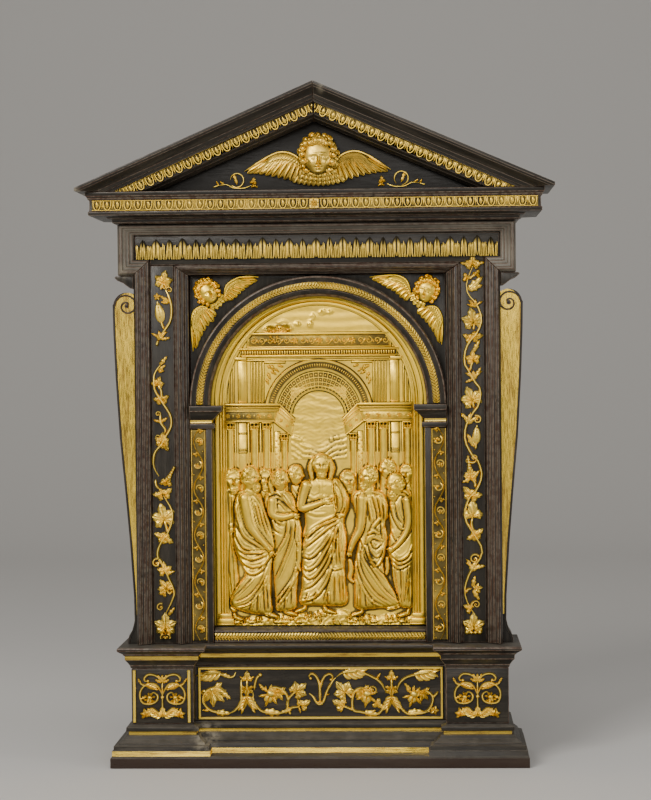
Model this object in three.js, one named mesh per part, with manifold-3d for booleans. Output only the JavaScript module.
// Liturgical pax: a gilt metal relief in an ebonised wooden tabernacle frame with gilt mounts.
// Millimetres, +Z up, front faces -Y, origin at the middle of the underside.

import * as THREE from 'three';
import { mergeVertices } from 'three/addons/utils/BufferGeometryUtils.js';
import Module from 'manifold-3d';

const wasm = await Module();
wasm.setup();

// Clearance left between pieces that touch
const GAP = 0.3;

// Flats round the half circle of the arch
const ARC_SEGMENTS = 16;

// Widths, from the middle of the niche outwards
const NICHE_WIDTH = 106.8;
const PIER_WIDTH = 11.2;
const INNER_FRAME_WIDTH = 6.9;
const PILASTER_FIELD_WIDTH = 12.2;
const FRAME_WIDTH = 7.7;
const EAR_PROJECTION = 7.8;
const EAR_DROP = 4.9;
const CORNICE_PROJECTION = 13.8;
const PEDIMENT_PROJECTION = 18.4;
const DIE_WIDTH = 31;
const DIE_PROJECTION = 2.5;
const PLINTH_PROJECTION = 9.7;

// Heights, from the ground upwards
const PLINTH_HEIGHT = 5.7;
const BASE_MOULDING_HEIGHT = 14.5;
const DIE_HEIGHT = 28.2;
const LEDGE_HEIGHT = 10.8;
const SILL_HEIGHT = 7.6;
const SPRING_HEIGHT = 119.6;
const IMPOST_HEIGHT = 11.7;
const ARCH_HEADROOM = 0.8;
const INNER_HEAD_WIDTH = 4.7;
const FRIEZE_HEIGHT = 15.2;
const HEAD_WIDTH = 5.2;
const CORNICE_HEIGHT = 15.1;
const EAVES_HEIGHT = 1.6;
const PITCH_DEGREES = 23.4;

// Depths, measured forward from the flat back
const BOARD_DEPTH = 20;
const PLATE_THICKNESS = 3.2;
const NICHE_REVEAL = 9.5;
const SPANDREL_DEPTH = 27.5;
const FIELD_DEPTH = 34;
const INNER_FRAME_DEPTH = 37;
const FRAME_DEPTH = 40;
const PEDESTAL_DEPTH = 43;
const BREAKFRONT = 10;
const CONSOLE_BACK = 18;
const CONSOLE_DEPTH = 32.5;

// Metal ornaments
const TRIM_THICKNESS = 1.3;
const EGG_PITCH = 5.08;
const LEAF_PITCH = 13.7;
const LEAF_STRIP_HEIGHT = 11;
const BAND_WIDTH = 2.9;
const BAND_PITCH = 4.2;
const VINE_STEM = 1.3;
const RELIEF_RISE = 6.4;

// Places worked out from the sizes
const nicheHalf = NICHE_WIDTH / 2;
const pierOuter = nicheHalf + PIER_WIDTH;
const innerFrameOuter = pierOuter + INNER_FRAME_WIDTH;
const fieldOuter = innerFrameOuter + PILASTER_FIELD_WIDTH;
const bodyHalf = fieldOuter + FRAME_WIDTH;
const earHalf = bodyHalf + EAR_PROJECTION;
const eavesHalf = earHalf + PEDIMENT_PROJECTION;
const dieOuter = bodyHalf + DIE_PROJECTION;
const dieInner = dieOuter - DIE_WIDTH;
const dieBottom = PLINTH_HEIGHT + BASE_MOULDING_HEIGHT;
const dieTop = dieBottom + DIE_HEIGHT;
const ledgeTop = dieTop + LEDGE_HEIGHT;
const bodyBottom = ledgeTop + GAP;
const sillTop = bodyBottom + SILL_HEIGHT;
const springZ = bodyBottom + SPRING_HEIGHT;
const impostBottom = springZ - IMPOST_HEIGHT;
const openingTop = springZ + pierOuter + ARCH_HEADROOM;
const innerFrameTop = openingTop + INNER_HEAD_WIDTH;
const earBottom = innerFrameTop - EAR_DROP;
const leafBottom = earBottom + FRAME_WIDTH + GAP;
const friezeTop = innerFrameTop + FRIEZE_HEIGHT;
const frameTop = friezeTop + HEAD_WIDTH;
const corniceBottom = frameTop + GAP;
const corniceTop = corniceBottom + CORNICE_HEIGHT;
const pitch = THREE.MathUtils.degToRad(PITCH_DEGREES);
const eavesZ = corniceTop + GAP + EAVES_HEIGHT;
const apexZ = eavesZ + eavesHalf * Math.tan(pitch);
const centreDepth = PEDESTAL_DEPTH - BREAKFRONT;
const plateFront = BOARD_DEPTH + GAP + PLATE_THICKNESS;
const nicheFront = plateFront + NICHE_REVEAL;
const fullDepth = FRAME_DEPTH + PEDIMENT_PROJECTION;
const backY = fullDepth / 2;

// Materials
const ebonised = () => new THREE.MeshStandardMaterial({ color: 0x2a231d, roughness: 0.5 });
const gilt = () => new THREE.MeshStandardMaterial({ color: 0xc9982f, roughness: 0.35, metalness: 0.9 });

const group = new THREE.Group();

// Adds one named piece to the pax
function addPiece(name, geometry, material) {
  geometry.computeVertexNormals();
  const mesh = new THREE.Mesh(geometry, material);
  mesh.name = name;
  group.add(mesh);
}

// A point given by its place across, its depth from the back and its height
function at(x, depth, z) {
  return [x, backY - depth, z];
}

// Six times the volume inside a triangle list, to tell which way its faces point
function signedVolume(points, faces) {
  let sum = 0;
  for (const [a, b, c] of faces) {
    const [p, q, r] = [points[a], points[b], points[c]];
    sum += p[0] * (q[1] * r[2] - q[2] * r[1]);
    sum -= p[1] * (q[0] * r[2] - q[2] * r[0]);
    sum += p[2] * (q[0] * r[1] - q[1] * r[0]);
  }
  return sum;
}

// A closed geometry from points and triangles, turned so that its faces point out
function closedGeometry(points, faces) {
  const outward = signedVolume(points, faces) > 0;
  const geometry = new THREE.BufferGeometry();
  geometry.setAttribute('position', new THREE.Float32BufferAttribute(points.flat(), 3));
  geometry.setIndex(faces.flatMap(([a, b, c]) => (outward ? [a, b, c] : [a, c, b])));
  return geometry;
}

// A loft through rings of equal count, capped at both ends with the triangles of a flat outline
function loft(rings, flatOutline) {
  const count = rings[0].length;
  const points = rings.flat();
  const faces = [];
  for (let ring = 0; ring < rings.length - 1; ring++) {
    for (let i = 0; i < count; i++) {
      const j = (i + 1) % count;
      const low = ring * count;
      const high = low + count;
      faces.push([low + i, low + j, high + j], [low + i, high + j, high + i]);
    }
  }
  const contour = flatOutline.map(([x, y]) => new THREE.Vector2(x, y));
  const clockwise = THREE.ShapeUtils.isClockWise(contour);
  const last = (rings.length - 1) * count;
  // Triangles come anticlockwise, so the first cap turns them round unless the outline is clockwise
  for (const [a, b, c] of THREE.ShapeUtils.triangulateShape(contour, [])) {
    const cap = clockwise ? [a, b, c] : [a, c, b];
    faces.push(cap, [last + cap[0], last + cap[2], last + cap[1]]);
  }
  return closedGeometry(points, faces);
}

// A solid with a flat outline across the front, from one depth to another
function slab(outline, back, front) {
  const rings = [back, front].map((depth) => outline.map(([x, z]) => at(x, depth, z)));
  return loft(rings, outline);
}

function box(x0, x1, back, front, z0, z1) {
  return slab([[x0, z0], [x1, z0], [x1, z1], [x0, z1]], back, front);
}

// A stack of mouldings: each level is [projection, height], laid out by a plan of [x, depth]
function mouldingStack(levels, planAt) {
  const rings = levels.map(([offset, z]) => planAt(offset).map(([x, depth]) => at(x, depth, z)));
  return loft(rings, planAt(levels[0][0]));
}

// A moulding of a constant profile of [inset, depth], carried along a path of corners
function mouldingRun(profile, corners) {
  const rings = corners.map((corner) => profile.map(([inset, depth]) => {
    const [x, z] = corner(inset);
    return at(x, depth, z);
  }));
  return loft(rings, profile);
}

function toManifold(geometry) {
  const bare = geometry.clone();
  bare.deleteAttribute('normal');
  bare.deleteAttribute('uv');
  const merged = mergeVertices(bare, 1e-4);
  const vertProperties = new Float32Array(merged.attributes.position.array);
  const triVerts = new Uint32Array(merged.index.array);
  return new wasm.Manifold(new wasm.Mesh({ numProp: 3, vertProperties, triVerts }));
}

function fromManifold(solid) {
  const mesh = solid.getMesh();
  const geometry = new THREE.BufferGeometry();
  geometry.setAttribute('position', new THREE.Float32BufferAttribute(mesh.vertProperties, 3));
  geometry.setIndex(Array.from(mesh.triVerts));
  return geometry;
}

function join(geometries) {
  return fromManifold(geometries.map(toManifold).reduce((whole, next) => whole.add(next)));
}

function cut(geometry, tool) {
  return fromManifold(toManifold(geometry).subtract(toManifold(tool)));
}

function keepInside(geometry, limit) {
  return fromManifold(toManifold(geometry).intersect(toManifold(limit)));
}

function mirrorX(geometry) {
  const copy = geometry.clone();
  copy.scale(-1, 1, 1);
  const index = Array.from(copy.index.array);
  for (let i = 0; i < index.length; i += 3) {
    [index[i + 1], index[i + 2]] = [index[i + 2], index[i + 1]];
  }
  copy.setIndex(index);
  return copy;
}

// Metalwork shapes, raised forward from a depth

// A shape with a flat foot and one crown point that sees every corner of its outline
function peak(outline, crown, depth, rise) {
  const points = [...outline.map(([x, z]) => at(x, depth, z)), at(crown[0], depth + rise, crown[1])];
  const count = outline.length;
  const faces = outline.map((corner, i) => [i, (i + 1) % count, count]);
  const contour = outline.map(([x, z]) => new THREE.Vector2(x, z));
  const clockwise = THREE.ShapeUtils.isClockWise(contour);
  for (const [i, j, k] of THREE.ShapeUtils.triangulateShape(contour, [])) {
    faces.push(clockwise ? [i, j, k] : [i, k, j]);
  }
  return closedGeometry(points, faces);
}

// Turns and moves a point of a small outline to its place on the piece
function placed(u, v, x, z, turn) {
  return [x + u * Math.cos(turn) - v * Math.sin(turn), z + u * Math.sin(turn) + v * Math.cos(turn)];
}

// A small round stud
function stud(x, z, width, depth, rise, sides = 5) {
  return peak(arcPoints(x, z, width / 2, 0, 2 * Math.PI, sides).slice(1), [x, z], depth, rise);
}

// A round or oval boss: an upright foot, a shoulder ring and a crown point
function boss(x, z, width, height, depth, rise, sides = 6, turn = 0) {
  const rings = [[1, 0], [0.7, 0.78]].map(([share, lift]) => {
    const ring = [];
    for (let i = 0; i < sides; i++) {
      const angle = (i / sides) * 2 * Math.PI;
      const [u, v] = [Math.cos(angle) * share * width / 2, Math.sin(angle) * share * height / 2];
      const [px, pz] = placed(u, v, x, z, turn);
      ring.push(at(px, depth + lift * rise, pz));
    }
    return ring;
  });
  const points = [...rings.flat(), at(x, depth + rise, z)];
  const faces = [];
  for (let i = 0; i < sides; i++) {
    const j = (i + 1) % sides;
    faces.push([i, j, sides + j], [i, sides + j, sides + i], [sides + i, sides + j, 2 * sides]);
    if (i > 0 && j > 0) {
      faces.push([0, j, i]);
    }
  }
  return closedGeometry(points, faces);
}

// A pointed leaf: a flat foot, widest at a share of its length, with a raised midrib
function leaf(x, z, turn, length, width, depth, rise, widest = 0.45) {
  const outline = [[-0.14, 0], [widest, 0.5], [1, 0], [widest, -0.5]]
    .map(([u, v]) => placed(u * length, v * width, x, z, turn));
  return peak(outline, placed(widest * length * 0.9, 0, x, z, turn), depth, rise);
}

// A leaf of several lobes cut from one piece, its tips spread round its crown
function lobed(x, z, turn, length, width, depth, rise, lobes = 3) {
  const outline = [[-0.14, 0]];
  for (let i = 0; i < lobes; i++) {
    const side = (2 * i) / (lobes - 1) - 1;
    const angle = side * (lobes > 3 ? 1.9 : 1.45);
    const reach = 0.62 - 0.12 * Math.abs(side);
    outline.push([0.38 + reach * Math.cos(angle), (reach * Math.sin(angle) * width) / length]);
    if (i < lobes - 1) {
      const between = angle + (lobes > 3 ? 0.95 : 1.45) / (lobes - 1) * (lobes > 3 ? 2 : 1);
      outline.push([0.38 + 0.3 * Math.cos(between), (0.3 * Math.sin(between) * width) / length]);
    }
  }
  const points = outline.map(([u, v]) => placed(u * length, v * length, x, z, turn));
  return peak(points, placed(0.38 * length, 0, x, z, turn), depth, rise);
}

// A flower seen from the front: petals round a raised middle
function flower(x, z, size, depth, rise, petals = 5, turn = 0.3) {
  const outline = [];
  for (let i = 0; i < 2 * petals; i++) {
    const radius = (size / 2) * (i % 2 === 0 ? 1 : 0.5);
    const angle = turn + (i * Math.PI) / petals;
    outline.push([x + radius * Math.cos(angle), z + radius * Math.sin(angle)]);
  }
  return peak(outline, [x, z], depth, rise);
}

// A stem of triangular section along a curve of [x, z] points, thinning towards its end
function stem(path, width, depth, rise, steps, endShare = 1) {
  const curve = new THREE.CatmullRomCurve3(path.map(([x, z]) => new THREE.Vector3(x, 0, z)));
  const rings = [];
  for (let i = 0; i <= steps; i++) {
    const t = i / steps;
    const point = curve.getPoint(t);
    const along = curve.getTangent(t);
    const half = (width / 2) * (1 + (endShare - 1) * t);
    const lift = rise * (1 + (endShare - 1) * t * 0.5);
    rings.push([
      at(point.x - along.z * half, depth, point.z + along.x * half),
      at(point.x, depth + lift, point.z),
      at(point.x + along.z * half, depth, point.z - along.x * half),
    ]);
  }
  return loft(rings, [[0, 0], [1, 1], [2, 0]]);
}

// A spiral as a list of points, from its outer end in to its eye
function spiralPath(x, z, outer, inner, start, turns, points = 10) {
  const path = [];
  for (let i = 0; i <= points; i++) {
    const t = i / points;
    const angle = start + t * turns * 2 * Math.PI;
    const radius = outer + (inner - outer) * t;
    path.push([x + radius * Math.cos(angle), z + radius * Math.sin(angle)]);
  }
  return path;
}

function arcPoints(x, z, radius, from, to, segments) {
  const points = [];
  for (let i = 0; i <= segments; i++) {
    const angle = from + ((to - from) * i) / segments;
    points.push([x + radius * Math.cos(angle), z + radius * Math.sin(angle)]);
  }
  return points;
}

// Base, predella and ledge

// The plan of the foot: two pedestals that stand forward of the middle
function breakfrontPlan(offset) {
  const outer = dieOuter + offset;
  const inner = dieInner - offset;
  const [front, middle] = [PEDESTAL_DEPTH + offset, centreDepth + offset];
  return [
    [-outer, 0], [-outer, front], [-inner, front], [-inner, middle],
    [inner, middle], [inner, front], [outer, front], [outer, 0],
  ];
}

function makeBase() {
  const slabFront = PEDESTAL_DEPTH + PLINTH_PROJECTION;
  const plinthHalf = dieOuter + PLINTH_PROJECTION;
  const slabLevels = [[0, 0], [0, PLINTH_HEIGHT - 0.9], [-0.7, PLINTH_HEIGHT]];
  const plinth = mouldingStack(slabLevels, (offset) => [
    [-plinthHalf - offset, 0], [-plinthHalf - offset, slabFront + offset],
    [plinthHalf + offset, slabFront + offset], [plinthHalf + offset, 0],
  ]);
  const m = BASE_MOULDING_HEIGHT;
  const share = (height) => PLINTH_HEIGHT + m * height;
  const levels = [
    [0.92, -0.04], [0.92, 0.18], [0.84, 0.2], [0.84, 0.34], [0.62, 0.37], [0.62, 0.42],
    [0.38, 0.53], [0.28, 0.64], [0.14, 0.66], [0.14, 0.77], [0.27, 0.8], [0.26, 0.92], [0, 0.98], [0, 1],
  ].map(([offset, height]) => [offset * PLINTH_PROJECTION, share(height)]);
  addPiece('foot_plinth', join([plinth, mouldingStack(levels, breakfrontPlan)]), ebonised());

  const dieLevels = [[0, dieBottom + GAP], [0, dieTop - GAP]];
  addPiece('predella', mouldingStack(dieLevels, breakfrontPlan), ebonised());

  const overhang = 6.4;
  const ledgeLevels = [
    [0.05, 0], [0.1, 0.12], [0.28, 0.28], [0.42, 0.38], [0.46, 0.4], [0.46, 0.6], [0.56, 0.62],
    [0.6, 0.68], [0.86, 0.78], [1, 0.84], [1, 0.94], [0.94, 1],
  ].map(([offset, height]) => [offset * overhang, dieTop + height * LEDGE_HEIGHT]);
  addPiece('predella_ledge', mouldingStack(ledgeLevels, breakfrontPlan), ebonised());
}

// Body: back board, pilasters and frame mouldings

const frameProfile = (back) => [
  [0, back], [0, 0.95], [0.1, 0.98], [0.16, 1], [0.3, 1], [0.36, 0.97], [0.52, 0.965],
  [0.58, 0.945], [0.72, 0.94], [0.78, 0.91], [0.92, 0.905], [1, 0.87], [1, back],
].map(([inset, depth]) => [inset * FRAME_WIDTH, depth === back ? back : depth * FRAME_DEPTH]);

function makeBody() {
  const back = BOARD_DEPTH + GAP;
  addPiece('back_board', slab([
    [-bodyHalf, bodyBottom], [bodyHalf, bodyBottom], [bodyHalf, earBottom], [earHalf, earBottom],
    [earHalf, frameTop], [-earHalf, frameTop], [-earHalf, earBottom], [-bodyHalf, earBottom],
  ], 0, BOARD_DEPTH), ebonised());

  // Outer frame with its ears, mitred at the foot of each ear
  const side = (inset) => bodyHalf - inset;
  const stileCorners = [
    (inset) => [side(inset), bodyBottom],
    (inset) => [side(inset), earBottom + inset - GAP],
  ];
  const stile = mouldingRun(frameProfile(back), stileCorners);
  addPiece('frame_stile_right', stile, ebonised());
  addPiece('frame_stile_left', mirrorX(stile), ebonised());
  const topInset = (inset) => (inset * HEAD_WIDTH) / FRAME_WIDTH;
  const halfHead = [
    (inset) => [side(inset), earBottom + inset],
    (inset) => [earHalf - inset, earBottom + inset],
    (inset) => [earHalf - inset, frameTop - topInset(inset)],
  ];
  const mirrored = halfHead.map((corner) => (inset) => {
    const [x, z] = corner(inset);
    return [-x, z];
  });
  addPiece('frame_head', mouldingRun(frameProfile(back), [...halfHead, ...mirrored.reverse()]), ebonised());

  // Inner frame round the arch
  const low = FIELD_DEPTH;
  const innerProfile = [
    [0, back], [0, low + 0.4], [0.12, low + 0.5], [0.2, INNER_FRAME_DEPTH], [0.42, INNER_FRAME_DEPTH],
    [0.5, INNER_FRAME_DEPTH - 1.2], [0.7, INNER_FRAME_DEPTH - 2], [0.78, INNER_FRAME_DEPTH - 3.4],
    [1, INNER_FRAME_DEPTH - 4], [1, back],
  ];
  const innerStile = mouldingRun(innerProfile, [
    (inset) => [innerFrameOuter - inset * INNER_FRAME_WIDTH, bodyBottom],
    (inset) => [innerFrameOuter - inset * INNER_FRAME_WIDTH, innerFrameTop - inset * INNER_HEAD_WIDTH - GAP],
  ]);
  addPiece('inner_frame_right', innerStile, ebonised());
  addPiece('inner_frame_left', mirrorX(innerStile), ebonised());
  const headAt = (sign) => (inset) => [
    sign * (innerFrameOuter - inset * INNER_FRAME_WIDTH), innerFrameTop - inset * INNER_HEAD_WIDTH,
  ];
  addPiece('inner_frame_head', mouldingRun(innerProfile, [headAt(-1), headAt(1)]), ebonised());

  // Flat fields
  const [fieldIn, fieldOut] = [innerFrameOuter + GAP, fieldOuter - GAP];
  const pilaster = box(fieldIn, fieldOut, back, FIELD_DEPTH, bodyBottom, innerFrameTop);
  addPiece('pilaster_right', pilaster, ebonised());
  addPiece('pilaster_left', mirrorX(pilaster), ebonised());
  const earFloor = earBottom + FRAME_WIDTH + GAP;
  const friezeHalf = earHalf - FRAME_WIDTH - GAP;
  addPiece('frieze_board', slab([
    [-friezeHalf, friezeTop - GAP], [-friezeHalf, earFloor], [-fieldOut, earFloor],
    [-fieldOut, innerFrameTop + GAP], [fieldOut, innerFrameTop + GAP], [fieldOut, earFloor],
    [friezeHalf, earFloor], [friezeHalf, friezeTop - GAP],
  ], back, FIELD_DEPTH), ebonised());
}

// Niche: sill, piers, imposts, arch and spandrels

function makeNiche() {
  const back = BOARD_DEPTH + GAP;
  const overPlate = plateFront + GAP;
  const lip = nicheHalf + 1.7;
  const outer = pierOuter - GAP;
  const pierProfile = [
    [lip, back], [lip, overPlate], [nicheHalf, overPlate], [nicheHalf, nicheFront],
    [nicheHalf + 3, nicheFront], [nicheHalf + 3, nicheFront - 1], [outer, nicheFront - 1], [outer, back],
  ];
  const pier = mouldingStack([[0, bodyBottom], [0, impostBottom - GAP]], () => pierProfile);
  addPiece('pier_right', pier, ebonised());
  addPiece('pier_left', mirrorX(pier), ebonised());

  const levels = [
    [0.28, 0], [0.28, 0.2], [0.03, 0.23], [0.03, 0.37], [0.28, 0.45], [0.58, 0.6], [0.85, 0.72],
    [1, 0.76], [1, 1],
  ].map(([offset, height]) => [offset * 5.4, impostBottom + height * (IMPOST_HEIGHT - GAP)]);
  const clearOfRelief = plateFront + 2.6;
  const impost = join([
    mouldingStack(levels, (offset) => [
      [outer, clearOfRelief], [outer, nicheFront + offset * 0.7],
      [nicheHalf - offset, nicheFront + offset * 0.7], [nicheHalf - offset, clearOfRelief],
    ]),
    box(lip, outer, back, clearOfRelief + 1, impostBottom, springZ - GAP),
  ]);
  addPiece('impost_right', impost, ebonised());
  addPiece('impost_left', mirrorX(impost), ebonised());

  const sillHalf = nicheHalf - GAP;
  const sillProfile = [
    [back, 0], [nicheFront - 1.2, 0], [nicheFront - 1.2, 1], [nicheFront - 2, 1.1],
    [nicheFront - 2, 5.2], [nicheFront - 1, 5.4], [nicheFront - 1.6, 6.2],
    [plateFront + 4, SILL_HEIGHT - GAP], [back, SILL_HEIGHT - GAP],
  ];
  const sillRings = [-sillHalf, sillHalf].map((x) => sillProfile.map(([d, z]) => at(x, d, bodyBottom + z)));
  addPiece('sill', loft(sillRings, sillProfile), ebonised());

  // The arch: one moulding turned through half a circle above the imposts
  const r = nicheHalf;
  const front = nicheFront;
  const archProfile = [
    [lip, back], [lip, overPlate], [r + 0.9, overPlate], [r + 0.9, front - 2.3], [r + 1.9, front - 0.6],
    [r + 4.1, front + 0.4], [r + 4.1, front - 0.6], [r + 7.8, front - 0.6], [r + 7.8, front + 0.6],
    [outer - 0.9, front + 1.4], [outer, front + 0.3], [outer, back],
  ];
  const rings = [];
  for (let i = 0; i <= ARC_SEGMENTS; i++) {
    const angle = (Math.PI * i) / ARC_SEGMENTS;
    rings.push(archProfile.map(([radius, depth]) =>
      at(radius * Math.cos(angle), depth, springZ + radius * Math.sin(angle))));
  }
  addPiece('arch_moulding', loft(rings, archProfile), ebonised());

  const corner = [outer, openingTop - GAP];
  const arc = arcPoints(0, springZ, pierOuter, 0.06, Math.PI / 2 - 0.1, 10);
  const edge = [[outer, arc[0][1]], ...arc.slice(1), [arc[arc.length - 1][0], corner[1]], corner];
  const spandrel = slab(edge.map(([x, z]) => [Math.min(x, outer), z]), back, SPANDREL_DEPTH);
  addPiece('spandrel_right', spandrel, ebonised());
  addPiece('spandrel_left', mirrorX(spandrel), ebonised());
}

// Side consoles and the caps over them

function makeConsoles() {
  const inner = bodyHalf + GAP;
  const height = earBottom - bodyBottom;
  const [top, reach] = [bodyBottom + height * 0.955, 10.9];
  const eye = [inner + 4, top - 6.6];
  // How far the outer edge stands off the body, from the volute down to the foot
  const sweep = [[1, 0.9], [0.98, 0.84], [0.9, 0.72], [0.74, 0.56], [0.5, 0.4], [0.32, 0.27],
    [0.17, 0.13], [0.15, 0.06], [0.26, 0.035], [0.4, 0.022], [0.46, 0.008], [0.46, 0]];
  const scrollTop = arcPoints(eye[0], eye[1], 6.6, Math.PI * 0.82, Math.PI * 0.05, 8);
  const outline = [
    [inner, bodyBottom], [inner, eye[1] + 4.2], ...scrollTop,
    ...sweep.map(([out, up]) => [inner + reach * out, bodyBottom + height * up]),
  ];
  const rimPath = [
    ...spiralPath(eye[0], eye[1], 3.2, 5.9, Math.PI * 1.1, -0.8, 7),
    ...sweep.slice(1, 8).map(([out, up]) => [inner + reach * out - 0.8, bodyBottom + height * up]),
  ];
  const bracket = keepInside(join([
    slab(outline, CONSOLE_BACK, CONSOLE_DEPTH),
    stem(rimPath, 1.3, CONSOLE_DEPTH - 0.1, 0.8, 15),
    stud(eye[0], eye[1], 4.4, CONSOLE_DEPTH - 0.1, 1.1, 7),
  ]), box(inner, inner + 2 * reach, 0, fullDepth, bodyBottom, earBottom));
  addPiece('console_right', bracket, ebonised());
  addPiece('console_left', mirrorX(bracket), ebonised());

  const cap = [[0, 1], [0.94, 1], [1, 0.88], [0.84, 0.66], [0.56, 0.48], [0.34, 0.22], [0.16, 0.04], [0, 0]];
  const capHeight = height * 0.034;
  const capOutline = cap.map(([out, up]) => [
    inner + out * (EAR_PROJECTION + 1.6), earBottom - GAP - capHeight * (1 - up),
  ]);
  const capSolid = slab(capOutline, CONSOLE_BACK, FRAME_DEPTH - 3);
  addPiece('console_cap_right', capSolid, ebonised());
  addPiece('console_cap_left', mirrorX(capSolid), ebonised());
}

// Cornice and pediment

function makePediment() {
  const plan = (offset) => [
    [-earHalf - offset, 0], [-earHalf - offset, FRAME_DEPTH + offset],
    [earHalf + offset, FRAME_DEPTH + offset], [earHalf + offset, 0],
  ];
  const levels = [
    [0.08, 0], [0.15, 0.04], [0.15, 0.15], [0.3, 0.17], [0.34, 0.22], [0.9, 0.24], [0.91, 0.36],
    [0.86, 0.38], [0.86, 0.73], [0.91, 0.74], [0.92, 0.8], [0.98, 0.86], [1, 0.92], [1, 1],
  ].map(([offset, height]) => [offset * CORNICE_PROJECTION, corniceBottom + height * CORNICE_HEIGHT]);
  addPiece('cornice', mouldingStack(levels, plan), ebonised());

  // A point under the roof: how far down the slope's normal, seen at a place across
  const under = (x, drop) => apexZ - x * Math.tan(pitch) - drop / Math.cos(pitch);
  const tympanumDrop = 6;
  const seat = corniceTop + GAP;
  const foot = (drop) => (under(0, drop) - seat) / Math.tan(pitch);
  addPiece('tympanum', slab([
    [-foot(tympanumDrop), seat], [foot(tympanumDrop), seat], [0, under(0, tympanumDrop)],
  ], 0, FRAME_DEPTH), ebonised());

  const d = FRAME_DEPTH;
  const profile = [
    [0, 0], [0, fullDepth], [1.3, fullDepth], [2.4, fullDepth - 0.6], [4, fullDepth - 2.4],
    [5.6, fullDepth - 3.9], [7.4, fullDepth - 4.6], [7.4, fullDepth - 5.5], [8.8, fullDepth - 5.5],
    [8.8, d + 11], [14.3, d + 11], [14.3, d + 8.5], [15.6, d + 7.4], [16.8, d + 4.4],
    [16.8, d + GAP], [tympanumDrop - GAP, d + GAP], [tympanumDrop - GAP, 0],
  ];
  const ringAt = (x) => profile.map(([drop, depth]) => at(x, depth, under(x, drop)));
  const reach = eavesHalf + 30;
  const whole = loft([ringAt(GAP / 2), ringAt(reach)], profile);
  const limit = box(0, eavesHalf, -1, fullDepth + 1, seat, apexZ + 5);
  const raking = keepInside(whole, limit);
  addPiece('raking_cornice_right', raking, ebonised());
  addPiece('raking_cornice_left', mirrorX(raking), ebonised());
  return { under, foot, seat };
}

// Egg-and-dart strips

// A strip along the x axis, with one tapered tongue to every egg
function eggStrip(length, height, depth) {
  const count = Math.max(1, Math.round(length / EGG_PITCH));
  const step = length / count;
  const bed = TRIM_THICKNESS * 0.45;
  const parts = [box(0, length, depth, depth + bed, 0, height)];
  for (let i = 0; i < count; i++) {
    const x = (i + 0.5) * step;
    const outline = [[-0.36, 0.9], [-0.2, 0.12], [0.2, 0.12], [0.36, 0.9]]
      .map(([u, v]) => [x + u * step, v * height]);
    parts.push(peak(outline, [x, height * 0.66], depth + bed - 0.1, TRIM_THICKNESS - bed + 0.1));
  }
  return join(parts);
}

function makeEggs(roof) {
  const stripZ = corniceBottom + CORNICE_HEIGHT * 0.38 + GAP / 2;
  const stripHeight = CORNICE_HEIGHT * 0.35 - GAP;
  const faceDepth = FRAME_DEPTH + CORNICE_PROJECTION * 0.86 + GAP;
  const rosetteHalf = 2.6;
  const stripLength = earHalf + CORNICE_PROJECTION * 0.86 - 1.4 - rosetteHalf;
  const right = eggStrip(stripLength, stripHeight, faceDepth);
  right.translate(rosetteHalf, 0, stripZ);
  addPiece('cornice_eggs_right', right, gilt());
  addPiece('cornice_eggs_left', mirrorX(right), gilt());
  const rosetteZ = stripZ + stripHeight / 2;
  const half = rosetteHalf - GAP;
  addPiece('cornice_rosette', join([
    box(-half, half, faceDepth, faceDepth + TRIM_THICKNESS * 0.5, stripZ, stripZ + stripHeight),
    boss(0, rosetteZ, half * 1.8, half * 1.8, faceDepth + TRIM_THICKNESS * 0.4, TRIM_THICKNESS * 0.8, 8),
  ]), gilt());

  // The sloping strips, cut level where they meet the cornice and upright at the ridge
  const [dropTop, dropFoot] = [8.8 + GAP, 14.3 - GAP];
  const slopeDepth = FRAME_DEPTH + 11 + GAP;
  const slopeLength = roof.foot(dropTop) / Math.cos(pitch) + 4;
  const strip = eggStrip(slopeLength, dropFoot - dropTop, slopeDepth);
  strip.translate(-2, 0, -(dropFoot - dropTop));
  strip.rotateY(pitch);
  strip.translate(0, 0, roof.under(0, dropTop));
  const limit = box(GAP * 2, eavesHalf, 0, fullDepth, roof.seat, apexZ);
  const sloping = keepInside(strip, limit);
  addPiece('raking_eggs_right', sloping, gilt());
  addPiece('raking_eggs_left', mirrorX(sloping), gilt());
}

// Leaf-tip strip of the frieze

function makeFriezeLeaves() {
  const half = earHalf - FRAME_WIDTH - 4 * GAP;
  const count = 2 * Math.round((2 * half) / LEAF_PITCH) + 1;
  const step = (2 * half) / count;
  const depth = FIELD_DEPTH + GAP;
  const h = LEAF_STRIP_HEIGHT;
  const parts = [];
  for (let i = 0; i < count; i++) {
    const x = -half + (i + 0.5) * step;
    const broad = i % 2 === 1;
    const height = broad ? h : h * 0.93;
    const shape = broad
      ? [[-0.5, 0], [0.5, 0], [0.5, 0.56], [0, 1], [-0.5, 0.56]]
      : [[-0.5, 0], [0.5, 0], [0.5, 0.3], [0, 1], [-0.5, 0.3]];
    const outline = shape.map(([u, v]) => [x + u * (step - 0.1), leafBottom + v * height]);
    parts.push(peak(outline, [x, leafBottom + 0.55 * height], depth, TRIM_THICKNESS * 1.8));
  }
  const foot = box(-half, half, depth, depth + TRIM_THICKNESS * 0.6, leafBottom, leafBottom + h * 0.1);
  addPiece('frieze_leaves', join([...parts, foot]), gilt());
}

// Overlapping leaf bands of the arch and the sill

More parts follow.
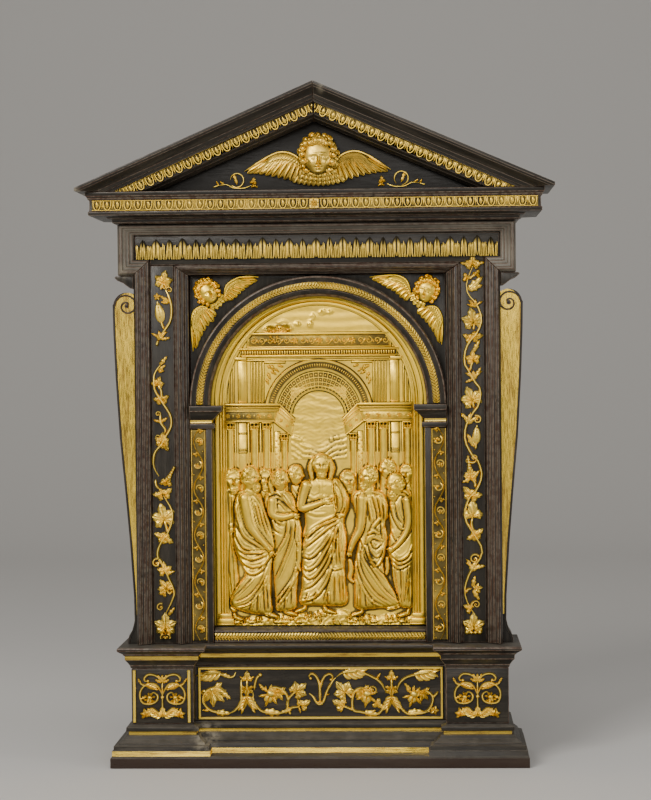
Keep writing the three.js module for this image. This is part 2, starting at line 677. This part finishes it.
// A run of overlapping leaves: each starts broad and low and ends narrow and high over the next
function leafRun(count, width, depth, placeAt) {
  const rings = [];
  for (let i = 0; i < count; i++) {
    for (const [step, share, lift] of [[0.02, 1, 0.55], [0.94, 0.4, 1]]) {
      const half = (width / 2) * share;
      const [edgeIn, middle, edgeOut] = [-half, 0, half].map((across) => placeAt((i + step) / count, across));
      rings.push([
        at(edgeIn[0], depth, edgeIn[1]), at(middle[0], depth + lift * TRIM_THICKNESS, middle[1]),
        at(edgeOut[0], depth, edgeOut[1]),
      ]);
    }
  }
  return loft(rings, [[0, 0], [1, 1], [2, 0]]);
}

function makeLeafBands() {
  const radius = nicheHalf + 5.95;
  const depth = nicheFront - 0.6 + GAP;
  const count = Math.round((Math.PI * radius) / BAND_PITCH / 2);
  for (const side of [-1, 1]) {
    // Both halves of the arch run up to the crown
    const quarter = leafRun(count, BAND_WIDTH, depth, (share, across) => {
      const angle = (share * (Math.PI - GAP / radius)) / 2;
      return [side * (radius + across) * Math.cos(angle), springZ + (radius + across) * Math.sin(angle)];
    });
    addPiece(side < 0 ? 'arch_leaf_band_left' : 'arch_leaf_band_right', quarter, gilt());
  }
  const sillDepth = nicheFront - 2 + GAP;
  const half = nicheHalf - 2 * GAP;
  const [low, high] = [bodyBottom + 1.1 + GAP, bodyBottom + 5.2 - GAP];
  const sillCount = Math.round(half / BAND_PITCH);
  for (const side of [-1, 1]) {
    const run = leafRun(sillCount, high - low, sillDepth, (share, across) => [
      side * (half - share * (half - GAP / 2)), (low + high) / 2 + across,
    ]);
    addPiece(side < 0 ? 'sill_leaf_band_left' : 'sill_leaf_band_right', run, gilt());
  }
}

// Scrolls of the piers: a plate with a wavy vine and a flower in every bay

function makePierScrolls() {
  const [x0, x1] = [nicheHalf + 3 + GAP, pierOuter - 2 * GAP];
  const [z0, z1] = [bodyBottom + 1.3, impostBottom - 2 * GAP];
  const depth = nicheFront - 1 + GAP;
  const bed = 0.8;
  const bays = 8;
  const middle = (x0 + x1) / 2;
  const swing = (x1 - x0) * 0.3;
  const bay = (z1 - z0) / bays;
  const path = [];
  for (let i = 0; i <= bays * 2; i++) {
    path.push([middle + swing * Math.sin((i * Math.PI) / 2), z0 + 1 + (i * (bay - 0.25)) / 2]);
  }
  const parts = [
    box(x0, x1, depth, depth + bed, z0, z1),
    stem(path, 1, depth + bed - 0.1, 1, bays * 2),
  ];
  for (let i = 0; i < bays; i++) {
    const side = i % 2 === 0 ? -1 : 1;
    const z = z0 + (i + 0.5) * bay;
    parts.push(stud(middle + side * swing * 0.75, z, 2.8, depth + bed - 0.1, 1.1));
  }
  const panel = keepInside(join(parts), box(x0, x1, 0, fullDepth, z0, z1));
  addPiece('pier_scroll_right', panel, gilt());
  addPiece('pier_scroll_left', mirrorX(panel), gilt());
}

// Vines of the pilasters

// The vine swings from side to side between heights given as shares of the pilaster, top to foot
function vine(middle, swings, firstSide, topLeaf, footLeaf) {
  const depth = FIELD_DEPTH + GAP;
  const swing = PILASTER_FIELD_WIDTH * 0.34;
  const height = innerFrameTop - bodyBottom;
  const heights = swings.map((share) => bodyBottom + share * height);
  const last = heights.length - 1;
  const sideOf = (i) => (i === 0 || i === last ? 0 : (i % 2 === 1 ? firstSide : -firstSide));
  const path = heights.map((z, i) => [middle + sideOf(i) * swing, z]);
  const parts = [stem(path, VINE_STEM, depth, TRIM_THICKNESS, (heights.length - 1) * 2)];
  for (let i = 1; i < last; i++) {
    const side = sideOf(i);
    const joint = (heights[i] + heights[i + 1]) / 2;
    const rootX = middle + ((side + sideOf(i + 1)) / 2) * swing;
    const z = heights[i];
    // A leaf of three blades that fills the bay from the joint below
    const bay = Math.min(9.4, (z - joint) * 1.05);
    parts.push(lobed(rootX, joint, Math.PI / 2 + side * 0.45, bay, 5.4, depth, TRIM_THICKNESS * 1.6));
  }
  if (topLeaf) {
    parts.push(leaf(middle, heights[0] - 3, Math.PI / 2, 5, 2.4, depth, TRIM_THICKNESS));
    parts.push(lobed(middle, heights[0] - 2.4, Math.PI / 2, 5.8, 5.4, depth, TRIM_THICKNESS * 1.5, 5));
  }
  if (footLeaf) {
    parts.push(lobed(middle, heights[last], Math.PI / 2, 8, 8.4, depth, TRIM_THICKNESS * 1.5, 5));
    parts.push(leaf(middle, heights[last] + 0.6, -Math.PI / 2, 4.4, 4, depth, TRIM_THICKNESS * 1.3));
  }
  const half = PILASTER_FIELD_WIDTH / 2 - 2 * GAP;
  const field = box(middle - half, middle + half, depth, fullDepth, bodyBottom, leafBottom - GAP);
  return keepInside(join(parts), field);
}

function makeVines() {
  const middle = (innerFrameOuter + fieldOuter) / 2;
  const right = [0.99, 0.94, 0.85, 0.755, 0.655, 0.565, 0.455, 0.36, 0.255, 0.155, 0.045];
  addPiece('pilaster_vine_right', vine(middle, right, -1, true, true), gilt());
  // The left vine is broken below its first swing, and the lost length is left open
  addPiece('pilaster_vine_left_upper', vine(-middle, [0.955, 0.88, 0.785], 1, true, false), gilt());
  const lower = [0.77, 0.7, 0.585, 0.49, 0.34, 0.25, 0.135, 0.045];
  addPiece('pilaster_vine_left_lower', vine(-middle, lower, -1, false, true), gilt());
}

// Ornaments of the predella

function makePredellaOrnaments() {
  const depth = centreDepth + GAP;
  const t = TRIM_THICKNESS;
  const middle = (dieBottom + dieTop) / 2;
  const half = dieInner - 1.5;
  const borderWidth = 1.4;
  const panel = (inset, z) => [
    [-half + inset, dieBottom + 1 + z], [half - inset, dieBottom + 1 + z],
    [half - inset, dieTop - 1 - z], [-half + inset, dieTop - 1 - z],
  ];
  addPiece('predella_border', cut(slab(panel(0, 0), depth, depth + 0.9),
    slab(panel(borderWidth, borderWidth), depth - 1, depth + 2)), gilt());

  const dieDepth = PEDESTAL_DEPTH + GAP;
  const filletBottom = dieBottom + 1;
  const filletTop = dieTop - 1;
  addPiece('die_fillet_left_outer',
    box(-dieOuter + 0.8, -dieOuter + 2.1, dieDepth, dieDepth + 0.7, filletBottom, filletTop), gilt());
  addPiece('die_fillet_left_inner',
    box(-dieInner - 2.9, -dieInner - 1.5, dieDepth, dieDepth + 0.7, filletBottom, filletTop), gilt());

  // Rinceau: each group runs from the lyre in the middle outwards
  const wave = 7.2;
  const rinceau = (side) => {
    const place = (x, z) => [side * x, middle + z];
    const run = [
      place(10.5, -6.6), place(16, -wave), place(22, -2.2), place(25.5, 5.6), place(20.5, 8.2),
    ];
    const outer = [
      place(16, -wave), place(26, -9), place(34, -7.5), place(38, -2), place(42, -7), place(52, -9),
      place(58.2, -3), place(56.5, 3.5),
    ];
    const curl = (x, z, r, start, turns) => {
      const [cx, cz] = place(x, z);
      return stem(spiralPath(cx, cz, r, r * 0.4, start, turns * side, 7), 1.3, depth, t, 7);
    };
    const parts = [
      stem(run, 1.5, depth, t, 8),
      stem(outer, 1.5, depth, t, 11),
      curl(20.5, 1.6, 6.6, side > 0 ? 0.2 : Math.PI - 0.2, 0.9),
      curl(52, -2.8, 6.4, side > 0 ? -0.2 : Math.PI + 0.2, 0.9),
      // Candelabrum between the two scrolls
      stem([place(37, -9), place(37, 9.5)], 2.2, depth, t * 1.2, 1, 0.7),
      stem([place(31, 6.5), place(37, 8.6), place(43, 6.5)], 1.5, depth, t, 4),
      stem([place(33, -1), place(37, -3.4), place(41, -1)], 1.5, depth, t, 2),
    ];
    const [bx, bz] = place(20.5, 1.6);
    const [cx, cz] = place(52, -2.8);
    parts.push(flower(bx, bz, 6.4, depth, t * 1.4), flower(cx, cz, 6.4, depth, t * 1.4));
    const leafAt = (x, z, turn, length, width, lobes) => {
      const [px, pz] = place(x, z);
      parts.push(lobed(px, pz, side > 0 ? turn : Math.PI - turn, length, width, depth, t * 1.4, lobes));
    };
    leafAt(25.5, 5, 0.9, 6, 5, 3);
    leafAt(12, -6.6, 1.9, 8, 6, 3);
    leafAt(44, -7.6, 1.5, 9, 6, 3);
    leafAt(57, 1.5, 2.4, 8, 7, 5);
    const edge = half - borderWidth - GAP;
    const floor = dieBottom + 1 + borderWidth + GAP;
    return keepInside(join(parts), box(-edge, edge, 0, fullDepth, floor, dieTop - 1 - borderWidth - GAP));
  };
  addPiece('predella_rinceau_left', rinceau(-1), gilt());
  addPiece('predella_rinceau_right', rinceau(1), gilt());

  const armPath = [[1.5, -8.2], [2.2, -3], [4.4, 3.4], [7.2, 5.6], [7.6, 2.6], [5.6, 2.4]];
  const lyreArm = (side) => {
    const path = armPath.map(([x, z]) => [side * x, middle + z]);
    return stem(path, 2, depth, t * 1.2, 8, 0.6);
  };
  const foot = box(-2, 2, depth, depth + t * 0.6, middle - 9, middle - 7);
  addPiece('predella_lyre', join([
    foot, lyreArm(-1), lyreArm(1), leaf(0, middle - 8.4, Math.PI / 2, 7, 2.2, depth, t),
  ]), gilt());

  // Pedestal ornament: two volutes on a stem, a palmette above and leaves below
  const badgeMiddle = (dieInner + dieOuter) / 2;
  const badgeHalf = 11.4;
  const pedestal = (side) => {
    const cx = side * badgeMiddle;
    const parts = [stem([[cx, middle - 10.6], [cx, middle + 6]], 2, dieDepth, t * 1.2, 1)];
    for (const hand of [-1, 1]) {
      const [vx, vz] = [cx + hand * 6.2, middle + 0.6];
      const start = hand > 0 ? Math.PI * 1.25 : -Math.PI * 0.25;
      const volute = spiralPath(vx, vz, 4.6, 1.9, start, hand * 0.9, 7);
      const rootPath = [[cx, middle - 9], [cx + hand * 3.4, middle - 7.6]];
      const upperTurn = Math.PI / 2 - hand * 0.82;
      const lowerTurn = hand > 0 ? -0.1 : Math.PI + 0.1;
      parts.push(stem([...rootPath, ...volute], 1.4, dieDepth, t, 10));
      parts.push(lobed(cx + hand * 0.5, middle + 2.2, upperTurn, 11.4, 6.4, dieDepth, t * 1.4));
      parts.push(lobed(cx + hand * 2.6, middle - 7.9, lowerTurn, 8.4, 5.6, dieDepth, t * 1.4));
    }
    parts.push(lobed(cx, middle + 3.6, Math.PI / 2, 7.4, 6.4, dieDepth, t * 1.5, 5));
    const limit = box(cx - badgeHalf - 0.4, cx + badgeHalf + 0.4, dieDepth, dieDepth + 6,
      middle - badgeHalf, middle + badgeHalf);
    return keepInside(join(parts), limit);
  };
  addPiece('pedestal_ornament_left', pedestal(-1), gilt());
  addPiece('pedestal_ornament_right', pedestal(1), gilt());
}

// Winged cherub heads

// A wing: a bowed arm from the root, with one row of feathers fanned out below it
function wing(rootX, rootZ, turn, length, drop, depth, rise, side, feathers = 7) {
  const arm = [];
  const back = [];
  const edge = [];
  const place = (along, up) => {
    const [u, v] = placed(along, up, 0, 0, turn);
    return [rootX + side * u, rootZ + v];
  };
  for (let i = 0; i < feathers; i++) {
    const t = i / (feathers - 1);
    const bow = Math.sin(t * Math.PI * 0.8) * drop * 0.5;
    const along = length * 0.62 * t;
    const swing = -1.25 + t * 1.2;
    const reach = length * (0.3 + 0.1 * t);
    const notch = swing + 0.6 / feathers;
    arm.push(place(along, bow));
    back.push(place(along - 0.6, bow + 1.7 - i * 0.12));
    edge.push(place(along + reach * Math.cos(swing), bow + reach * Math.sin(swing)));
    if (i < feathers - 1) {
      const shift = along + (length * 0.31) / (feathers - 1);
      edge.push(place(shift + reach * 0.8 * Math.cos(notch), bow + reach * 0.8 * Math.sin(notch)));
    }
  }
  const points = [
    ...back.map(([x, z]) => at(x, depth, z)),
    ...edge.map(([x, z]) => at(x, depth, z)),
    ...arm.map(([x, z], i) => at(x, depth + rise * (1 - (0.3 * i) / feathers), z)),
  ];
  const [rim, high] = [feathers, feathers + edge.length];
  const faces = [];
  for (let i = 0; i < feathers - 1; i++) {
    const tip = rim + 2 * i;
    faces.push([i, i + 1, high + i + 1], [i, high + i + 1, high + i]);
    faces.push([high + i, tip + 1, tip], [high + i, high + i + 1, tip + 1], [high + i + 1, tip + 2, tip + 1]);
    faces.push([i, tip, tip + 1], [i, tip + 1, i + 1], [i + 1, tip + 1, tip + 2]);
  }
  const [last, end] = [feathers - 1, rim + edge.length - 1];
  faces.push([0, high, rim], [last, end, high + last]);
  return closedGeometry(points, faces);
}

// A head: an oval face in a ring of curls
function head(x, z, size, depth, rise, curls = 7) {
  const parts = [boss(x, z, size * 0.8, size, depth, rise, 8)];
  for (let i = 0; i < curls; i++) {
    const angle = -0.35 + (i / (curls - 1)) * (Math.PI + 0.7);
    parts.push(stud(x + Math.cos(angle) * size * 0.42, z + Math.sin(angle) * size * 0.45,
      size * 0.36, depth, rise * 0.85, 5));
  }
  return parts;
}

function makeCherubs(roof) {
  // Over the cornice, in the middle of the pediment
  const depth = FRAME_DEPTH + GAP;
  const foot = roof.seat + GAP;
  const wings = [];
  for (const side of [-1, 1]) {
    wings.push(wing(side * 6, foot + 8.5, 0.16, 34, 10, depth, 3, side, 8));
  }
  const chest = [];
  for (let i = -2; i <= 2; i++) {
    chest.push(leaf(i * 3, foot + 7, -Math.PI / 2 + i * 0.28, 6.6, 4.2, depth, 3.4));
  }
  const cherub = join([...wings, ...chest, ...head(0.6, foot + 16, 18.5, depth, 7.5)]);
  const spread = 37;
  const above = box(-spread, spread, depth, fullDepth, foot, apexZ);
  addPiece('pediment_cherub', keepInside(cherub, above), gilt());

  // Scroll sprigs beyond the wings
  const ring = spiralPath(43.2, foot + 4.4, 3.7, 1.9, Math.PI * 1.35, 1.05, 8);
  const scroll = keepInside(join([
    stem([[37.4, foot + 1.6], [39.2, foot + 0.9], ...ring], 1.3, depth, 1.1, 14),
    lobed(45.6, foot + 1.4, 0.35, 7.5, 4.6, depth, 1.3),
  ]), box(-eavesHalf, eavesHalf, depth, fullDepth, foot, apexZ));
  addPiece('pediment_scroll_right', scroll, gilt());
  addPiece('pediment_scroll_left', mirrorX(scroll), gilt());

  // In the two spandrels, turned to the middle
  const cornerX = pierOuter - GAP;
  const headSize = 12.6;
  const bed = SPANDREL_DEPTH + GAP;
  const [hx, hz] = [cornerX - 9.4, openingTop - 9.8];
  const limitArc = arcPoints(0, springZ, pierOuter + 0.4, 0, Math.PI, ARC_SEGMENTS);
  const spandrelSide = (side) => {
    const parts = [
      wing(side * (hx - 4), hz - 1, 0.28, 24, 7, bed, 2.6, -side, 7),
      wing(side * (hx + 1), hz - 6, -1.32, 26, 7, bed, 2.6, side, 7),
      ...head(side * hx, hz, headSize, bed, 6),
    ];
    const room = box(-cornerX + GAP, cornerX - GAP, bed, fullDepth, springZ, openingTop - 2 * GAP);
    const below = [[-pierOuter - 0.4, impostBottom], [pierOuter + 0.4, impostBottom]];
    const disc = slab([...limitArc, ...below], 0, fullDepth);
    return cut(keepInside(join(parts), room), disc);
  };
  addPiece('spandrel_cherub_right', spandrelSide(1), gilt());
  addPiece('spandrel_cherub_left', spandrelSide(-1), gilt());
}

// The relief: robed figures before a domed arcade

// A robed body: half rounds from hem to neck, pleated below the waist
function robe(stations, depth, pleats) {
  const rings = stations.map(([x, z, width, rise, fold]) => {
    const ring = [at(x - width / 2, depth - 0.6, z)];
    for (let i = 0; i <= pleats; i++) {
      const angle = Math.PI * (1 - i / pleats);
      const bulge = i % 2 === 0 ? 1 - fold : 1;
      const lift = rise * Math.sin(angle) * bulge;
      ring.push(at(x + (width / 2) * Math.cos(angle), depth + lift, z));
    }
    ring.push(at(x + width / 2, depth - 0.6, z));
    return ring;
  });
  const flat = rings[0].map((point) => [point[0], -point[1]]);
  return loft(rings, flat);
}

// A limb or a roll of cloth between two or three points of [x, z, rise, thickness]
function limb(points, depth) {
  const rings = points.map(([x, z, rise, thick], i) => {
    const [px, pz] = points[Math.max(0, i - 1)];
    const [nx, nz] = points[Math.min(points.length - 1, i + 1)];
    const along = Math.hypot(nx - px, nz - pz);
    const [ux, uz] = [-(nz - pz) / along, (nx - px) / along];
    const half = thick / 2;
    return [
      at(x - ux * half, depth + rise * 0.4, z - uz * half), at(x, depth + rise, z),
      at(x + ux * half, depth + rise * 0.4, z + uz * half),
    ];
  });
  return loft(rings, [[0, 0], [1, 1], [2, 0]]);
}

function makeRelief() {
  const depth = plateFront;
  const half = nicheHalf + 1.3;
  const foot = sillTop + 0.1;
  const Z = (height) => foot + height;
  const outline = [[-half, foot], [half, foot], ...arcPoints(0, springZ, half, 0, Math.PI, ARC_SEGMENTS)];
  const parts = [slab(outline, BOARD_DEPTH + GAP, depth)];
  const overlap = depth - 0.3;

  // Fluted border: flat bands down both sides and round the arch
  const springHeight = springZ - foot;
  const border = (outer, inner, rise) => {
    for (const side of [-1, 1]) {
      const edges = [side * outer, side * inner].sort((a, b) => a - b);
      parts.push(box(edges[0], edges[1], overlap, depth + rise, Z(0.4), Z(springHeight)));
    }
    parts.push(slab([
      ...arcPoints(0, springZ, outer, 0, Math.PI, 12), ...arcPoints(0, springZ, inner, Math.PI, 0, 12),
    ], overlap, depth + rise));
  };
  border(50.6, 47, 1.6);
  // Two-step blocks at the foot of the border
  for (const side of [-1, 1]) {
    const [a, b] = [side * 53, side * 45.4].sort((p, q) => p - q);
    parts.push(box(a, b, overlap, depth + 2, Z(0.4), Z(6.4)));
  }

  // Architecture: attic, cornice, arch of the vault and side entablatures
  const bar = (x0, x1, low, high, rise) => parts.push(box(x0, x1, overlap, depth + rise, Z(low), Z(high)));
  bar(-34.6, 34.6, 146.6, 148, 1.2);
  bar(-35.6, 35.6, 140.6, 141.6, 1.1);
  bar(-40.6, 40.6, 136.6, 139.4, 1.8);
  bar(-40, 40, 134, 135.4, 1.1);
  const archZ = 106.4;
  const ring = (outer, inner, rise) => parts.push(slab([
    ...arcPoints(0, Z(archZ), outer, 0, Math.PI, 8), ...arcPoints(0, Z(archZ), inner, Math.PI, 0, 8),
  ], overlap, depth + rise));
  ring(27.4, 25.6, 1.6);
  ring(15.2, 13.8, 1.6);
  for (const side of [-1, 1]) {
    const span = (x0, x1, low, high, rise) => {
      const [a, b] = [side * x0, side * x1].sort((p, q) => p - q);
      parts.push(box(a, b, overlap, depth + rise, Z(low), Z(high)));
    };
    span(46.6, 19.4, 111, 112.6, 2);
    span(46.6, 22.6, 102.4, 104, 1.6);
    // The entablature runs back to the arch in perspective
    parts.push(slab([
      [side * 19.4, Z(112.6)], [side * 12, Z(104.8)], [side * 12, Z(103.4)], [side * 19.4, Z(110.6)],
    ], overlap, depth + 1.5));
    parts.push(slab([
      [side * 22.6, Z(104)], [side * 13.4, Z(97)], [side * 13.4, Z(95.4)], [side * 22.6, Z(102.2)],
    ], overlap, depth + 1.2));
    // Columns under the entablature, the last one beside the opening, and the flat strips above
    for (const [x, width, top] of [
      [44.6, 3.6, 101.4], [38, 4.4, 101.4], [31.8, 5, 101.4], [25.4, 4.4, 101.4], [16.8, 3, 93],
    ]) {
      span(x - width / 2, x + width / 2, 70, top, 1.6);
    }
    for (const x of [38, 44.6]) {
      span(x - 1.6, x + 1.6, 114, 134.4, 0.9);
    }
  }

  // Figures behind: a head and shoulders each
  const heads = [[-43.5, 74.1], [-27.3, 73.9], [-11.6, 76.2], [14.2, 73.1], [34.4, 78.7], [44.2, 77.2]];
  for (const [x, z] of heads) {
    parts.push(stud(x, Z(z), 8.4, overlap, 3.6, 6));
    parts.push(stud(x, Z(z - 9), 12, overlap, 2.5, 4));
  }

  // Figures in front, from the spectator's left: pose by stations of [x, height, width, rise, fold]
  const rise = RELIEF_RISE;
  const figures = [
    {
      stations: [[-34.6, 6, 22, 0.62, 0.5], [-34, 20, 19, 0.66, 0.45], [-32.6, 33, 17, 0.78, 0.3],
        [-33, 47, 19.4, 0.8, 0.15], [-34.4, 60, 18, 0.86, 0.08], [-35, 68.4, 9, 0.7, 0]],
      head: [-34.6, 74.4],
      limbs: [[[-37, 66, 0.9, 5], [-34, 52, 1.02, 5.4], [-25, 38.6, 0.9, 3]],
        [[-42, 44, 0.9, 3], [-33, 36, 1, 3.4], [-23.6, 33, 0.8, 3]]],
      feet: [[-24, 4.6], [-42, 5.4]],
    },
    {
      stations: [[-17.4, 6.6, 11.4, 0.5, 0.45], [-17, 20, 12, 0.56, 0.4], [-16.6, 34, 13, 0.66, 0.25],
        [-17, 50, 14, 0.7, 0.15], [-19.4, 62, 13, 0.72, 0.05], [-19.6, 68, 7.4, 0.6, 0]],
      head: [-19.2, 74],
      limbs: [[[-24, 62, 0.7, 4.4], [-18, 54, 0.86, 4.6], [-11.4, 56, 0.8, 2.6]],
        [[-23, 48, 0.7, 2.4], [-16, 38, 0.8, 2.8], [-10, 33, 0.66, 2.4]]],
      feet: [[-14, 4.6]],
    },
    {
      stations: [[1.6, 8, 22.6, 0.66, 0.5], [1, 24, 20.4, 0.74, 0.45], [1.6, 38, 19, 0.86, 0.3],
        [2, 52, 17.6, 0.86, 0.15], [2.4, 65, 20, 0.84, 0.06], [1.6, 73.6, 10, 0.76, 0]],
      head: [0.9, 81.2],
      limbs: [[[-6.4, 71, 0.9, 4.4], [-9.4, 59.8, 0.96, 4.4], [5.6, 63.4, 1.02, 3]],
        [[14, 66, 0.8, 6.4], [14.4, 57, 0.9, 5], [9, 54, 1.02, 3]],
        [[-8.6, 47.6, 0.86, 3.4], [0, 38, 0.98, 3.4], [10, 32, 0.86, 3]]],
      feet: [[-10.2, 7], [5, 6.6]],
    },
    {
      stations: [[27, 6, 21, 0.62, 0.5], [25, 20, 18.6, 0.68, 0.45], [24, 34, 17.4, 0.8, 0.3],
        [24.4, 48, 17.6, 0.84, 0.2], [24.6, 60, 17.4, 0.86, 0.08], [25, 68, 9, 0.72, 0]],
      head: [25.3, 75.1],
      limbs: [[[20.6, 65, 0.92, 4.8], [18.6, 47, 1, 4.6], [15, 36.4, 0.9, 2.8]],
        [[31, 62, 0.8, 3], [26.4, 49, 1.02, 5], [22, 24, 0.86, 3]]],
      feet: [[22.4, 4.6], [38, 4.8]],
    },
    {
      stations: [[42.4, 7.6, 9.6, 0.48, 0.4], [42.4, 22, 10, 0.54, 0.4], [42, 36, 11, 0.64, 0.25],
        [41.6, 52, 11.4, 0.66, 0.12], [41.4, 62, 10.4, 0.66, 0], [39.6, 67, 6, 0.6, 0]],
      head: [38.4, 71.2],
      limbs: [[[42, 62, 0.74, 4], [43, 47, 0.8, 4], [35.6, 38, 0.74, 2.6]]],
      feet: [[41, 5.4]],
    },
  ];
  for (const figure of figures) {
    const lifted = figure.stations.map(([x, z, width, share, fold]) => [x, Z(z), width, share * rise, fold]);
    parts.push(robe(lifted, depth, 4));
    const [hx, hz] = figure.head;
    parts.push(boss(hx, Z(hz), 7.2, 11, depth - 0.1, rise * 0.9, 7));
    for (const run of figure.limbs) {
      parts.push(limb(run.map(([x, z, share, thick]) => [x, Z(z), share * rise, thick]), depth));
    }
    for (const [x, z] of figure.feet) {
      parts.push(stud(x, Z(z), 5, depth - 0.1, rise * 0.6, 4));
    }
  }
  const room = box(GAP - nicheHalf, nicheHalf - GAP, 0, fullDepth, foot, springZ + nicheHalf);
  const carved = keepInside(join(parts.slice(1)), room);
  addPiece('relief_plaque', join([parts[0], carved]), gilt());
}

makeBase();
makeBody();
makeNiche();
makeConsoles();
const roof = makePediment();
makeEggs(roof);
makeFriezeLeaves();
makeLeafBands();
makePierScrolls();
makeVines();
makePredellaOrnaments();
makeCherubs(roof);
makeRelief();

export default group;
